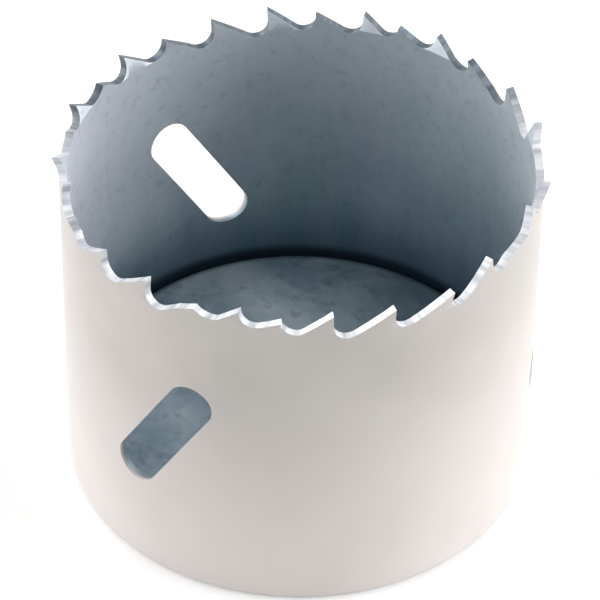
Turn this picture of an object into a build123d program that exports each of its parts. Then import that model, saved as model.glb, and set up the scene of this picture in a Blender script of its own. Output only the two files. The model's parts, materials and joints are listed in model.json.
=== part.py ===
from build123d import *
import os
from math import atan2, cos, degrees, radians, sin, tan

# A 60 mm bi-metal hole saw.  A toothed steel strip is rolled into a cup-shaped band and welded
# round a thick end plate, which holds the thread for the arbor.
#
# Millimetres.  +Z runs along the saw's axis from the end plate to the teeth, and the origin is
# on that axis in the plane that the plain end stands on.  The first of the three slots faces +X.

# --- driving dimensions ---------------------------------------------------------------------

# band
cutting_diameter = 60.0  # the hole it cuts, across the tips of the teeth that lean outwards
raker_lean = 0.3  # how far the tip of a straight tooth stands outside the wall
tooth_set = 0.6  # how far the tips of set teeth lean to either side of that
wall_thickness = 1.0
overall_height = 45.7
band_foot_radius = 0.8  # rounding of the outer corner at the plain end

# teeth
pitch_rhythm = "WWWMNNMN" + "WWMNNMM" + "WWMMNNNN" + "MWWWNNM"  # the gap that follows each tooth
gap_share = {"W": 1.45, "M": 1.2, "N": 1.0}  # wide and medium gaps as multiples of the narrow one
first_tip_angle = -83.15  # degrees round from +X
gullet_radius = 1.7
relief_angle = 31.5  # slope of a tooth's back, in degrees
tooth_stock = 0.5  # height left on the strip before the teeth are cut
cutter_overrun = 3.0  # how far cutters and punches reach past what they cut

# slots, through which the cut core is levered out
slot_count = 3
slot_length = 21.1
slot_width = 5.7
slot_lean = 59.0  # degrees from level, rising the way the saw turns
slot_middle_height = 22.6
slot_pitch_angle = 117.5  # degrees between slots; the last gap holds the strip's butt weld

# end plate
plate_thickness = 6.7
plate_clearance = 0.05  # radial gap in the band before welding
plate_edge_chamfer = 1.0
weld_edge_depth = 0.25  # how far the weld bead's edges stay inside the plain end
weld_crest_depth = 0.1  # and its crest
arbor_thread_diameter = 15.875  # major diameter of the 5/8-18 thread
arbor_thread_chamfer = 0.6
pin_hole_diameter = 6.6
pin_circle_diameter = 24.6
pin_hole_count = 2
pin_hole_angle = 45.0  # of the first pin hole, in degrees round from +X
pin_hole_chamfer = 0.3  # on the outer face, where the arbor's pins go in

# --- sizes that follow ----------------------------------------------------------------------

outer_radius = cutting_diameter / 2 - raker_lean - tooth_set
inner_radius = outer_radius - wall_thickness
plate_radius = inner_radius - plate_clearance

# pitches, in degrees round the saw and in millimetres on the plane that touches the wall
narrow_angle = 360 / sum(gap_share[gap] for gap in pitch_rhythm)
gap_angle = {gap: share * narrow_angle for gap, share in gap_share.items()}
gap_width = {gap: outer_radius * tan(radians(angle)) for gap, angle in gap_angle.items()}

# The back of a tooth runs tangent into the gullet's round, so the pitch sets the gullet's depth.
relief_slope = tan(radians(relief_angle))
tangent_x = gullet_radius * (1 + sin(radians(relief_angle)))
tangent_rise = gullet_radius * (1 - cos(radians(relief_angle)))
gullet_depth = {gap: (width - tangent_x) * relief_slope + tangent_rise for gap, width in gap_width.items()}

# The strip is a little taller before the gullets trim the teeth to sharp tips.
trim_height = overall_height + tooth_stock
root_height = overall_height - max(gullet_depth.values()) - tooth_stock
cutter_height = trim_height + cutter_overrun
cutter_near = inner_radius - cutter_overrun
cutter_far = outer_radius + cutter_overrun
gullet_floor_angle = degrees(atan2(gullet_radius, outer_radius))

# Angle of each tooth's tip and how far it leans out: the first tooth in each run of wide gaps is
# a raker, and the others are set in and out by turns.
tip_angles = []
leans = []
next_angle = first_tip_angle
next_set = -tooth_set
for tooth, gap in enumerate(pitch_rhythm):
    tip_angles.append(next_angle)
    next_angle += gap_angle[gap]
    if pitch_rhythm[tooth - 1] == "W" and pitch_rhythm[tooth - 2] != "W":
        leans.append(raker_lean)
    else:
        leans.append(raker_lean + next_set)
        next_set = -next_set

# --- punches and cutters --------------------------------------------------------------------

# A gullet's cutter narrows towards the axis, so the rake face of every tooth is radial.  Its
# straight side is the rake face, its round the gullet and its slope the next tooth's back.
gullet_cutters = {}
for gap in gap_share:
    with BuildPart() as gullet_cutter:
        for radius in (cutter_near, cutter_far):
            narrowing = radius / outer_radius
            round_height = overall_height - gullet_depth[gap] + gullet_radius
            relief_top = gap_width[gap] + (cutter_height - overall_height) / relief_slope
            with BuildSketch(Plane((radius, 0, 0), x_dir=(0, 1, 0), z_dir=(1, 0, 0))):
                with BuildLine():
                    Line((0, cutter_height), (0, round_height))
                    gullet_round = EllipticalCenterArc(
                        (gullet_radius * narrowing, round_height),
                        gullet_radius * narrowing,
                        gullet_radius,
                        start_angle=180,
                        arc_size=90 + relief_angle,
                    )
                    back = Line(gullet_round @ 1, (relief_top * narrowing, cutter_height))
                    Line(back @ 1, (0, cutter_height))
                make_face()
        loft(ruled=True)
    gullet_cutters[gap] = gullet_cutter.part

with BuildPart() as slot_punch:
    with BuildSketch(Plane((cutter_near, 0, slot_middle_height), x_dir=(0, 1, 0), z_dir=(1, 0, 0))):
        SlotOverall(slot_length, slot_width, rotation=slot_lean)
    extrude(amount=cutter_far - cutter_near)

# --- teeth ----------------------------------------------------------------------------------


def make_tooth(gap_behind, gap_ahead, lean):
    """The stretch of rim with one tooth, from gullet floor to gullet floor, starting at +X.

    It bends at the shallower of the two floors, so it meets its neighbours flush.
    """
    bend_depth = min(gullet_depth[gap_behind], gullet_depth[gap_ahead])
    bend_height = overall_height - bend_depth
    trim_lean = lean * (trim_height - bend_height) / bend_depth
    with BuildPart() as rim_tooth:
        with BuildSketch(Plane.XZ):
            with BuildLine():
                Polyline(
                    (inner_radius, root_height),
                    (outer_radius, root_height),
                    (outer_radius, bend_height),
                    (outer_radius + trim_lean, trim_height),
                    (inner_radius + trim_lean, trim_height),
                    (inner_radius, bend_height),
                    close=True,
                )
            make_face()
        revolve(axis=Axis.Z, revolution_arc=gap_angle[gap_behind])
        with Locations(Rotation(0, 0, -gullet_floor_angle)):
            add(gullet_cutters[gap_behind], mode=Mode.SUBTRACT)
        with Locations(Rotation(0, 0, gap_angle[gap_behind] - gullet_floor_angle)):
            add(gullet_cutters[gap_ahead], mode=Mode.SUBTRACT)
    return rim_tooth.part


# --- saw band -------------------------------------------------------------------------------

with BuildPart() as saw_band:
    from_foot = (Align.CENTER, Align.CENTER, Align.MIN)
    Cylinder(outer_radius, root_height, align=from_foot)
    Cylinder(inner_radius, root_height, align=from_foot, mode=Mode.SUBTRACT)
    foot_corner = saw_band.edges().group_by(Axis.Z)[0].sort_by(SortBy.RADIUS)[-1]
    fillet(foot_corner, band_foot_radius)

    # The faces of the wall are left in stretches (clean=False), as merging them spoils its inside.
    for tooth, gap_ahead in enumerate(pitch_rhythm):
        gap_behind = pitch_rhythm[tooth - 1]
        start_angle = tip_angles[tooth] - gap_angle[gap_behind] + gullet_floor_angle
        with Locations(Rotation(0, 0, start_angle)):
            add(make_tooth(gap_behind, gap_ahead, leans[tooth]), clean=False)

    with PolarLocations(0, slot_count, angular_range=slot_count * slot_pitch_angle):
        add(slot_punch.part, mode=Mode.SUBTRACT, clean=False)

# --- end plate ------------------------------------------------------------------------------

with BuildPart() as end_plate:
    Cylinder(plate_radius, plate_thickness, align=(Align.CENTER, Align.CENTER, Align.MIN))
    chamfer(end_plate.edges().filter_by(GeomType.CIRCLE), plate_edge_chamfer)

    # the weld bead, which fills the groove between the plate's lower chamfer and the band
    bead_edge = plate_radius - plate_edge_chamfer + weld_edge_depth
    with BuildSketch(Plane.XZ):
        with BuildLine():
            Polyline(
                (bead_edge, weld_edge_depth),
                (plate_radius, plate_edge_chamfer),
                (inner_radius, plate_edge_chamfer),
                (inner_radius, weld_edge_depth),
                ((bead_edge + inner_radius) / 2, weld_crest_depth),
                close=True,
            )
        make_face()
    revolve(axis=Axis.Z)

    Hole(arbor_thread_diameter / 2)
    chamfer(end_plate.edges(Select.LAST).filter_by(GeomType.CIRCLE), arbor_thread_chamfer)
    with PolarLocations(pin_circle_diameter / 2, pin_hole_count, start_angle=pin_hole_angle):
        Hole(pin_hole_diameter / 2)
    pin_hole_edges = end_plate.edges(Select.LAST).filter_by(GeomType.CIRCLE)
    chamfer(pin_hole_edges.group_by(Axis.Z)[0], pin_hole_chamfer)

# --- output ---------------------------------------------------------------------------------

saw_band.part.label = "saw_band"
end_plate.part.label = "end_plate"

os.makedirs("parts", exist_ok=True)
export_step(saw_band.part, "parts/saw_band.step")
export_step(end_plate.part, "parts/end_plate.step")
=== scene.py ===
import json
from math import cos, pi, radians, sin, tau

import bmesh
import bpy
from mathutils import Matrix, Vector


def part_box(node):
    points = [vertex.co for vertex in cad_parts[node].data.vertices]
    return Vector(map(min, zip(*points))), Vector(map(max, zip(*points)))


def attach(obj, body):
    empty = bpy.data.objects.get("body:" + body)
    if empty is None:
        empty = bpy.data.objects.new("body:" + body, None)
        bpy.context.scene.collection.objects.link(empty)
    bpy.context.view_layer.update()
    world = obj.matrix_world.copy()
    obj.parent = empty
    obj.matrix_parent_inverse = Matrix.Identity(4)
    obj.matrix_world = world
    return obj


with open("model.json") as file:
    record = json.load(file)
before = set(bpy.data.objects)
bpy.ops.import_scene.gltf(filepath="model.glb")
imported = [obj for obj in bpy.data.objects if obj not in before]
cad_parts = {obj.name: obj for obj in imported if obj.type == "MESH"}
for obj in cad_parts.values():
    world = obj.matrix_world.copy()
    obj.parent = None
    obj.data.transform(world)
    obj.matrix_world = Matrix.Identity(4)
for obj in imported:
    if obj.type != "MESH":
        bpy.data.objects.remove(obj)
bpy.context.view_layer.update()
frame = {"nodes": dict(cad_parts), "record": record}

# A hole saw standing on its end plate with the teeth up.  The band and the end plate are the
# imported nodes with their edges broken.  The thread in the arbor hole and the rippled surface of
# the weld under the plate are added here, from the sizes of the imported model.

# --- sizes, in metres -----------------------------------------------------------------------

MM = 0.001
RIM_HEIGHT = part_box("saw_band")[1].z
PLATE_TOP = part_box("end_plate")[1].z
WALL_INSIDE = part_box("end_plate")[1].x
WALL_THICKNESS = 1.0 * MM
TOOTH_DEPTH = 3.3 * MM  # just over the depth of the deepest gullet
SEAM_ANGLE = radians(-62.5)  # of the strip's butt weld, in the middle of the widest gap between slots
SEAM_WIDTH = 1.2 * MM

MOUNTS = {mount["name"]: mount for mount in frame["record"]["mounts"]}
THREAD_RADIUS = MOUNTS["arbor_thread"]["dims"]["r_mm"] * MM
THREAD_LENGTH = MOUNTS["arbor_thread"]["dims"]["length_mm"] * MM
THREAD_MIDDLE = MOUNTS["arbor_thread"]["pos_m"][2]
THREAD_PITCH = 25.4 / 18 * MM  # 18 turns an inch
THREAD_DEPTH = 0.77 * MM

# --- camera ---------------------------------------------------------------------------------

CAMERA_AZIMUTH = -0.95  # degrees round from the front, towards +X
CAMERA_ELEVATION = 41.55
CAMERA_DISTANCE = 494.9 * MM
CAMERA_AIM = Vector((0, 0, 22.95 * MM))
CAMERA_LENS = 240.7  # millimetres, before a sensor of 36
CAMERA_ROLL = 0.73  # degrees


def direction(azimuth, elevation):
    """The unit vector that points from the saw to a place round it, both angles in degrees."""
    turn, lift = radians(azimuth), radians(elevation)
    return Vector((sin(turn) * cos(lift), -cos(turn) * cos(lift), sin(lift)))


def make_camera():
    away = direction(CAMERA_AZIMUTH, CAMERA_ELEVATION)
    turn = (-away).to_track_quat("-Z", "Y").to_matrix().to_4x4()
    data = bpy.data.cameras.new("camera")
    data.sensor_width = 36
    data.lens = CAMERA_LENS
    data.clip_start = 0.01
    data.clip_end = 100
    camera = bpy.data.objects.new("camera", data)
    bpy.context.scene.collection.objects.link(camera)
    place = Matrix.Translation(CAMERA_AIM + away * CAMERA_DISTANCE)
    camera.matrix_world = place @ turn @ Matrix.Rotation(radians(CAMERA_ROLL), 4, "Z")
    bpy.context.scene.camera = camera


# --- node helpers ---------------------------------------------------------------------------


class Nodes:
    """A material's or world's node tree, with short calls to add and join nodes."""

    def __init__(self, owner):
        owner.use_nodes = True
        self.tree = owner.node_tree
        self.tree.nodes.clear()

    def add(self, kind, inputs=None, **settings):
        """A new node, with its settings and with values or other nodes' outputs at its inputs."""
        node = self.tree.nodes.new(kind)
        for name, value in settings.items():
            setattr(node, name, value)
        for name, value in (inputs or {}).items():
            self.put(node.inputs[name], value)
        return node

    def put(self, socket, value):
        if isinstance(value, bpy.types.NodeSocket):
            self.tree.links.new(value, socket)
        else:
            socket.default_value = value

    def maths(self, operation, first, second=0.0):
        return self.add("ShaderNodeMath", {0: first, 1: second}, operation=operation).outputs[0]

    def vector_maths(self, operation, first, second=(0, 0, 0)):
        return self.add("ShaderNodeVectorMath", {0: first, 1: second}, operation=operation)

    def smooth(self, value, low, high, out_low=0.0, out_high=1.0):
        """Goes smoothly from one output to the other while the value goes from low to high."""
        inputs = {"Value": value, "From Min": low, "From Max": high, "To Min": out_low, "To Max": out_high}
        return self.add("ShaderNodeMapRange", inputs, interpolation_type="SMOOTHSTEP").outputs[0]

    def noise(self, vector, scale, detail, roughness=0.5):
        inputs = {"Vector": vector, "Scale": scale, "Detail": detail, "Roughness": roughness}
        return self.add("ShaderNodeTexNoise", inputs).outputs["Fac"]

    def mix(self, factor, first, second):
        """Mixes two colours, which have sockets of their own on a node that also mixes other kinds."""
        factor_in, first_in, second_in, colour_out = 0, 6, 7, 2
        inputs = {factor_in: factor, first_in: first, second_in: second}
        return self.add("ShaderNodeMix", data_type="RGBA", inputs=inputs).outputs[colour_out]

    def bump(self, height, distance, strength, normal=None):
        inputs = {"Height": height, "Distance": distance, "Strength": strength}
        if normal is not None:
            inputs["Normal"] = normal
        return self.add("ShaderNodeBump", inputs).outputs[0]

    def finish(self, shader, kind="ShaderNodeOutputMaterial"):
        self.add(kind, {"Surface": shader.outputs[0]})


def colour_of(red, green, blue):
    """The colour that shows as these screen values of 0 to 255."""
    def linear(value):
        value /= 255
        return value / 12.92 if value <= 0.04045 else ((value + 0.055) / 1.055) ** 2.4
    return (linear(red), linear(green), linear(blue), 1.0)


class Place:
    """Where a point of the saw's surface is and which way it faces, as node outputs."""

    def __init__(self, n):
        coordinates = n.add("ShaderNodeTexCoord").outputs
        self.point = coordinates["Object"]
        self.normal = coordinates["Normal"]
        xyz = n.add("ShaderNodeSeparateXYZ", {0: self.point}).outputs
        self.x = xyz["X"]
        self.y = xyz["Y"]
        self.height = xyz["Z"]
        flat = n.add("ShaderNodeCombineXYZ", {"X": xyz["X"], "Y": xyz["Y"]}).outputs[0]
        self.radius = n.vector_maths("LENGTH", flat).outputs["Value"]
        self.angle = n.maths("ARCTAN2", xyz["Y"], xyz["X"])
        outwards = n.vector_maths("NORMALIZE", flat).outputs[0]
        self.facing_out = n.vector_maths("DOT_PRODUCT", self.normal, outwards).outputs["Value"]
        self.facing_up = n.add("ShaderNodeSeparateXYZ", {0: self.normal}).outputs["Z"]

    def towards(self, n, azimuth):
        """How far out of the axis a point lies, in metres, towards an azimuth round the saw."""
        side = direction(azimuth, 0)
        return n.maths("ADD", n.maths("MULTIPLY", self.x, side.x), n.maths("MULTIPLY", self.y, side.y))

    def streaks(self, n, stretch):
        """Coordinates on the saw in which textures run stretch times longer up than across."""
        x = n.maths("MULTIPLY", n.maths("COSINE", self.angle), WALL_INSIDE)
        y = n.maths("MULTIPLY", n.maths("SINE", self.angle), WALL_INSIDE)
        z = n.maths("DIVIDE", self.height, stretch)
        return n.add("ShaderNodeCombineXYZ", {"X": x, "Y": y, "Z": z}).outputs[0]


# --- materials ------------------------------------------------------------------------------

# painted light and shade: the paint is darker by the teeth and lighter by the foot
PAINT_SHADED_HIGH = colour_of(187, 182, 177)  # by the teeth
PAINT_LIT_LOW = colour_of(230, 223, 219)  # by the foot
PAINT_PATCH = colour_of(222, 217, 213)
PAINT_BLUSH = colour_of(216, 203, 202)
PAINT_WORN = colour_of(176, 178, 178)
OVERSPRAY = colour_of(194, 202, 207)
# thicker overspray together with painted light, on the left of the inside
OVERSPRAY_AND_LIGHT = colour_of(206, 209, 218)
STRIP_GREEN = colour_of(106, 139, 145)
STRIP_BLUE = colour_of(124, 140, 157)
STRIP_GRAIN = colour_of(148, 163, 172)
# painted shade deep in the cup, towards the plate
STRIP_PAINTED_SHADE = colour_of(54, 80, 100)
# real tarnish for the specks, and painted shade on the right of the inside
STRIP_TARNISH_AND_SHADE = colour_of(84, 98, 110)
STRIP_GROUND = colour_of(176, 184, 190)
CUT_DARK = colour_of(184, 188, 194)
CUT_BRIGHT = colour_of(230, 233, 238)
# the cut faces in painted shade, on the back of the saw
CUT_SHADED_DARK = colour_of(70, 80, 92)
CUT_SHADED_BRIGHT = colour_of(104, 114, 124)
PLATE_DARK = colour_of(128, 152, 164)
PLATE_BRIGHT = colour_of(194, 205, 210)
# a faint stain on the plate's front left, and painted shade on its right
PLATE_STAIN_AND_SHADE = colour_of(70, 94, 106)
PLATE_SPOT = colour_of(84, 104, 118)
# painted shade in the V between plate and band
CREVICE_PAINTED_SHADE = colour_of(36, 54, 68)

# the sides of the saw, as azimuths in degrees, on which its steel differs: painted shade on the back
# teeth, the right of the inside and the right of the plate, thicker overspray and painted light on the
# left of the inside, and a faint stain on the plate
CUT_SHADED_SIDE = -175
OVERSPRAY_AND_LIGHT_SIDE = -95
STRIP_PAINTED_SHADE_SIDE = 90
PLATE_SHADE_SIDE = 95
PLATE_FAINT_STAIN_SIDE = -45

TURNING_PITCH = 0.45 * MM  # of the rings that the lathe left on the plate


def paint_colour(n, place):
    """Warm grey-white spray paint with painted light, lighter towards the foot and darker towards the
    teeth, with faint cloudy patches.
    """
    # painted light and shade: lighter towards the foot, darker towards the teeth
    painted_light_fall = n.smooth(place.height, 0.0, RIM_HEIGHT)
    sprayed = n.mix(painted_light_fall, PAINT_LIT_LOW, PAINT_SHADED_HIGH)
    clouds = n.smooth(n.noise(place.point, 45, 3), 0.35, 0.75, 0.0, 0.4)
    sprayed = n.mix(clouds, sprayed, PAINT_PATCH)
    blush = n.smooth(n.noise(place.point, 70, 2), 0.45, 0.7, 0.0, 0.3)
    sprayed = n.mix(blush, sprayed, PAINT_BLUSH)
    foot = n.maths("ADD", place.height, n.maths("MULTIPLY", n.noise(place.point, 500, 3), 0.8 * MM))
    return n.mix(n.smooth(foot, 0.5 * MM, 0.9 * MM, 0.7, 0.0), sprayed, PAINT_WORN)


def paint_bump(n, place):
    """The fine orange peel of spray paint."""
    return n.bump(n.noise(place.point, 1300, 2), 0.02 * MM, 0.5)


def rolled_steel(n, place):
    """The strip's bare inside, with painted shade by the plate and on its right, paler where overspray
    reaches in, and paler still on its left from thicker overspray and painted light.
    """
    tints = n.smooth(n.noise(place.streaks(n, 3), 80, 2), 0.35, 0.65)
    steel = n.mix(tints, STRIP_GREEN, STRIP_BLUE)
    grain = n.smooth(n.noise(place.streaks(n, 8), 260, 5, 0.7), 0.35, 0.65, 0.0, 0.45)
    steel = n.mix(grain, steel, STRIP_GRAIN)
    # painted shade, darker towards the plate at the foot of the cup
    painted_corner_shade = n.smooth(place.height, PLATE_TOP, PLATE_TOP + 12 * MM, 0.6, 0.0)
    steel = n.mix(painted_corner_shade, steel, STRIP_PAINTED_SHADE)
    # painted shade on the right of the inside
    painted_side_shade = n.smooth(place.towards(n, STRIP_PAINTED_SHADE_SIDE), 20 * MM, WALL_INSIDE, 0.0, 0.25)
    steel = n.mix(painted_side_shade, steel, STRIP_TARNISH_AND_SHADE)

    # overspray came in over the teeth, with a ragged edge
    reach = n.maths("ADD", place.height, n.smooth(n.noise(place.point, 60, 4), 0.2, 0.8, -6 * MM, 6 * MM))
    steel = n.mix(n.smooth(reach, 8 * MM, RIM_HEIGHT, 0.0, 0.85), steel, OVERSPRAY)
    # paler on the left of the inside, partly thicker overspray and partly painted light
    overspray_lit_mask = n.smooth(place.towards(n, OVERSPRAY_AND_LIGHT_SIDE), 8 * MM, WALL_INSIDE, 0.0, 0.8)
    overspray_lit_mask = n.maths("MULTIPLY", overspray_lit_mask, n.smooth(reach, 8 * MM, 26 * MM))
    steel = n.mix(overspray_lit_mask, steel, OVERSPRAY_AND_LIGHT)

    specks = n.smooth(n.noise(place.point, 700, 5, 0.7), 0.5, 0.75, 0.0, 0.3)
    steel = n.mix(specks, steel, STRIP_TARNISH_AND_SHADE)

    # the butt weld was ground flush
    from_seam = n.maths("ABSOLUTE", n.maths("SUBTRACT", place.angle, SEAM_ANGLE))
    half_angle = SEAM_WIDTH / 2 / WALL_INSIDE
    ground = n.smooth(from_seam, half_angle, half_angle * 1.6, 0.5, 0.0)
    steel = n.mix(ground, steel, STRIP_GROUND)

    # painted shade on the wall just above the plate
    crevice_painted_shade = n.smooth(place.height, PLATE_TOP, PLATE_TOP + 1.6 * MM, 0.9, 0.0)
    return n.mix(crevice_painted_shade, steel, CREVICE_PAINTED_SHADE)


def milled_steel(n, place):
    """The cut faces of the teeth, with the cutter's marks through the wall, and painted shade on the back
    of the saw.
    """
    marks = n.smooth(n.noise(place.streaks(n, 1), 1400, 2), 0.3, 0.7)
    bright = n.mix(marks, CUT_DARK, CUT_BRIGHT)
    painted_side_shade = n.mix(marks, CUT_SHADED_DARK, CUT_SHADED_BRIGHT)
    # painted shade on the cut faces at the back
    painted_back_shade = n.smooth(place.towards(n, CUT_SHADED_SIDE), 4 * MM, 14 * MM)
    return n.mix(painted_back_shade, bright, painted_side_shade)


def band_material():
    """Paint outside, rolled steel inside and milled steel where the teeth are cut."""
    material = bpy.data.materials.new("painted_band")
    n = Nodes(material)
    place = Place(n)

    # paint covers the outside and the foot, and only reaches part of the way into the slots
    depth = n.maths("DIVIDE", n.maths("SUBTRACT", place.radius, WALL_INSIDE), WALL_THICKNESS)
    into_slots = n.maths("MULTIPLY", n.smooth(depth, 0.3, 0.9), n.smooth(place.facing_out, -0.75, -0.4))
    painted = n.maths("MAXIMUM", into_slots, n.smooth(place.facing_out, 0.3, 0.7))
    painted = n.maths("MAXIMUM", painted, n.smooth(place.height, 0.4 * MM, 0.8 * MM, 1.0, 0.0))
    colour = n.mix(painted, rolled_steel(n, place), paint_colour(n, place))

    sideways = n.smooth(n.maths("ABSOLUTE", place.facing_out), 0.3, 0.6, 1.0, 0.0)
    gullet_floor = RIM_HEIGHT - TOOTH_DEPTH
    milled = n.maths("MULTIPLY", sideways, n.smooth(place.height, gullet_floor - 0.6 * MM, gullet_floor))
    colour = n.mix(milled, colour, milled_steel(n, place))

    bare = n.maths("MAXIMUM", milled, n.maths("SUBTRACT", 1.0, painted))
    metallic = n.smooth(bare, 0.0, 1.0, 0.0, 0.3)
    roughness = n.smooth(bare, 0.0, 1.0, 0.36, 0.46)
    inputs = {"Base Color": colour, "Metallic": metallic, "Roughness": roughness}
    inputs["Normal"] = paint_bump(n, place)
    n.finish(n.add("ShaderNodeBsdfPrincipled", inputs))
    return material


def plate_material():
    """Bare turned steel with a faint stain, painted shade in the groove round it and on its right side,
    and painted underneath.
    """
    material = bpy.data.materials.new("bare_plate")
    n = Nodes(material)
    place = Place(n)
    blotches = n.smooth(n.noise(place.point, 110, 5, 0.6), 0.3, 0.7)
    steel = n.mix(blotches, PLATE_DARK, PLATE_BRIGHT)
    # painted shade on the right of the plate; the faint stain towards the front left is the plate's own
    painted_plate_shade = n.smooth(place.towards(n, PLATE_SHADE_SIDE), -2 * MM, 22 * MM, 0.0, 0.65)
    faint_stain = n.smooth(place.towards(n, PLATE_FAINT_STAIN_SIDE), 10 * MM, 24 * MM, 0.0, 0.3)
    steel = n.mix(n.maths("MAXIMUM", painted_plate_shade, faint_stain), steel, PLATE_STAIN_AND_SHADE)
    spots = n.smooth(n.noise(place.point, 420, 4, 0.6), 0.52, 0.68, 0.0, 0.35)
    steel = n.mix(spots, steel, PLATE_SPOT)
    # painted shade in the V round the plate's edge
    groove = n.smooth(place.radius, WALL_INSIDE - 1.9 * MM, WALL_INSIDE - 0.8 * MM, 0.0, 0.9)
    steel = n.mix(groove, steel, CREVICE_PAINTED_SHADE)
    painted = n.smooth(place.facing_up, -0.35, -0.6)
    colour = n.mix(painted, steel, paint_colour(n, place))
    metallic = n.smooth(painted, 0.0, 1.0, 0.4, 0.0)
    roughness = n.smooth(painted, 0.0, 1.0, 0.48, 0.36)
    turning = n.maths("SINE", n.maths("MULTIPLY", place.radius, tau / TURNING_PITCH))
    turned = n.bump(turning, 0.006 * MM, 0.6, paint_bump(n, place))
    inputs = {"Base Color": colour, "Metallic": metallic, "Roughness": roughness, "Normal": turned}
    n.finish(n.add("ShaderNodeBsdfPrincipled", inputs))
    return material


# --- surroundings ---------------------------------------------------------------------------


def seen_directly(n):
    """1 for rays that show the background itself: from the camera, a reflection or through glass."""
    path = n.add("ShaderNodeLightPath").outputs
    direct = n.maths("MAXIMUM", path["Is Camera Ray"], path["Is Transmission Ray"])
    return n.maths("MAXIMUM", direct, path["Is Glossy Ray"])


def make_world():
    """White where it is seen, and a faint even light where it lights the saw."""
    world = bpy.data.worlds.new("world")
    bpy.context.scene.world = world
    n = Nodes(world)
    white = n.add("ShaderNodeBackground", {"Color": (1, 1, 1, 1), "Strength": 1.0})
    room = n.add("ShaderNodeBackground", {"Color": (1, 1, 1, 1), "Strength": 0.2})
    mixed = n.add("ShaderNodeMixShader", {0: seen_directly(n), 1: room.outputs[0], 2: white.outputs[0]})
    n.finish(mixed, "ShaderNodeOutputWorld")


def make_floor():
    """A pale floor, lifted to white where it is seen, on which the saw's shadow stays."""
    size = 2.0
    drop = 0.02 * MM  # keeps the floor clear of the faces that stand on it
    mesh = bpy.data.meshes.new("floor")
    corners = [(-size, -size, 0), (size, -size, 0), (size, size, 0), (-size, size, 0)]
    mesh.from_pydata(corners, [], [(0, 1, 2, 3)])
    floor = bpy.data.objects.new("floor", mesh)
    floor.location.z = -drop
    bpy.context.scene.collection.objects.link(floor)
    material = bpy.data.materials.new("floor")
    n = Nodes(material)
    diffuse = n.add("ShaderNodeBsdfDiffuse", {"Color": (0.8, 0.8, 0.8, 1)})
    glow = n.add("ShaderNodeEmission", {"Color": (1, 1, 1, 1), "Strength": 0.28})
    both = n.add("ShaderNodeAddShader", {0: diffuse.outputs[0], 1: glow.outputs[0]})
    mixed = n.add("ShaderNodeMixShader", {0: seen_directly(n), 1: diffuse.outputs[0], 2: both.outputs[0]})
    n.finish(mixed)
    mesh.materials.append(material)


def add_softbox(name, azimuth, elevation, width, power):
    """A square lamp that faces the saw, with its width in metres and its power in watts."""
    distance = 1.0
    data = bpy.data.lights.new(name, "AREA")
    data.shape = "SQUARE"
    data.size = width
    data.energy = power
    lamp = bpy.data.objects.new(name, data)
    away = direction(azimuth, elevation)
    lamp.location = CAMERA_AIM + away * distance
    lamp.rotation_mode = "QUATERNION"
    lamp.rotation_quaternion = (-away).to_track_quat("-Z", "Y")
    bpy.context.scene.collection.objects.link(lamp)


def make_lights():
    add_softbox("left_softbox", -90, 27, 0.9, 3.5)
    add_softbox("right_softbox", 88, 23, 0.9, 9.0)
    add_softbox("back_left_softbox", -130, 30, 0.7, 5.6)
    add_softbox("back_right_softbox", 130, 30, 0.7, 2.6)
    add_softbox("front_left_softbox", -70, 22, 0.7, 3.0)
    add_softbox("front_right_softbox", 65, 22, 0.7, 2.1)


# --- the saw --------------------------------------------------------------------------------


def dress(node, material, edge_width):
    """Gives a CAD node its material, and breaks its sharp edges."""
    node.data.materials.clear()
    node.data.materials.append(material)
    node.data.shade_smooth()
    weld = node.modifiers.new("weld", "WELD")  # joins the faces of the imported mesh
    weld.merge_threshold = 0.001 * MM
    bevel = node.modifiers.new("edges", "BEVEL")
    bevel.width = edge_width
    bevel.segments = 2
    bevel.limit_method = "ANGLE"
    bevel.angle_limit = radians(25)
    normals = node.modifiers.new("normals", "WEIGHTED_NORMAL")
    normals.keep_sharp = False


def on_circle(radius, angle, height):
    """The point of a circle round the saw's axis at an angle from +X."""
    return (radius * cos(angle), radius * sin(angle), height)


def make_tube(name, rows, joined, material):
    """A piece skinned over rows of points.  Each row is a closed loop, and joined rows form a ring."""
    count = len(rows[0])
    faces = []
    for row in range(len(rows) - (0 if joined else 1)):
        here = row * count
        there = (row + 1) % len(rows) * count
        for point in range(count):
            after = (point + 1) % count
            faces.append((here + point, there + point, there + after, here + after))
    mesh = bpy.data.meshes.new(name)
    mesh.from_pydata([point for row in rows for point in row], [], faces)
    shape = bmesh.new()
    shape.from_mesh(mesh)
    bmesh.ops.remove_doubles(shape, verts=shape.verts, dist=0.0005 * MM)
    bmesh.ops.recalc_face_normals(shape, faces=shape.faces)
    shape.to_mesh(mesh)
    shape.free()
    mesh.shade_smooth()
    mesh.set_sharp_from_angle(angle=radians(35))
    mesh.materials.append(material)
    piece = bpy.data.objects.new(name, mesh)
    bpy.context.scene.collection.objects.link(piece)
    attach(piece, "root")


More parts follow.
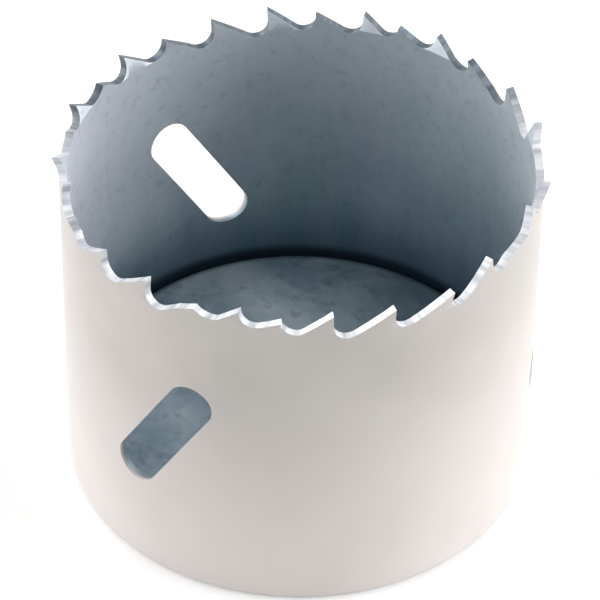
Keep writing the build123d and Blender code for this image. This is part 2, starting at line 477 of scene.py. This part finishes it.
def make_thread(material):
    """The ridge of the right-handed thread, cut back to nothing by the countersinks at its ends."""
    steps = 96  # in a turn
    sunk = 0.03 * MM  # how deep the ridge's root stands in the plate
    low = THREAD_MIDDLE - THREAD_LENGTH / 2
    high = THREAD_MIDDLE + THREAD_LENGTH / 2
    root_half = THREAD_PITCH * 7 / 16  # half the ridge's width where it meets the bore
    crest_half = THREAD_PITCH / 8  # and at its crest
    turns = (THREAD_LENGTH + 2 * root_half) / THREAD_PITCH
    rows = []
    for step in range(round(turns * steps) + 1):
        middle = low - root_half + step / steps * THREAD_PITCH
        row = []
        for offset in (-root_half, -crest_half, crest_half, root_half):
            height = min(max(middle + offset, low), high)
            if abs(offset) == root_half:
                radius = THREAD_RADIUS + sunk
            else:
                radius = THREAD_RADIUS - min(THREAD_DEPTH, height - low, high - height)
            row.append(on_circle(radius, tau * step / steps, height))
        rows.append(row)
    make_tube("arbor_thread", rows, False, material)


def make_weld(material):
    """The bead round the plate's underside, in the ripples that the arc left as it moved on."""
    ripples = 160
    steps = 5  # in a ripple
    across = 7  # points from the plate to the band
    bead_middle = WALL_INSIDE - 0.4 * MM
    bead_half = 0.5 * MM
    crest = 0.03 * MM  # height of the bead's lowest line, as the saw stands
    edge_rise = 0.32 * MM  # from there to its edges
    ripple_height = 0.06 * MM
    ripple_lag = 0.6  # how far a ripple trails at the bead's edges, in ripples
    hidden = 0.6 * MM  # height of the line that closes the bead inside the plate
    rows = []
    for step in range(ripples * steps):
        angle = tau * step / (ripples * steps)
        row = []
        for point in range(across):
            side = 2 * point / (across - 1) - 1
            phase = step / steps + ripple_lag * side ** 2
            ripple = ripple_height * (1 - side ** 2) * (1 - abs(sin(pi * phase)))
            height = crest + edge_rise * side ** 4 + ripple
            row.append(on_circle(bead_middle + bead_half * side, angle, height))
        row.append(on_circle(bead_middle, angle, hidden))
        rows.append(row)
    make_tube("weld_bead", rows, True, material)


bpy.context.scene.view_settings.view_transform = "Standard"
make_camera()
make_world()
make_floor()
make_lights()
steel_plate = plate_material()
dress(frame["nodes"]["saw_band"], band_material(), 0.1 * MM)
dress(frame["nodes"]["end_plate"], steel_plate, 0.08 * MM)
make_thread(steel_plate)
make_weld(steel_plate)
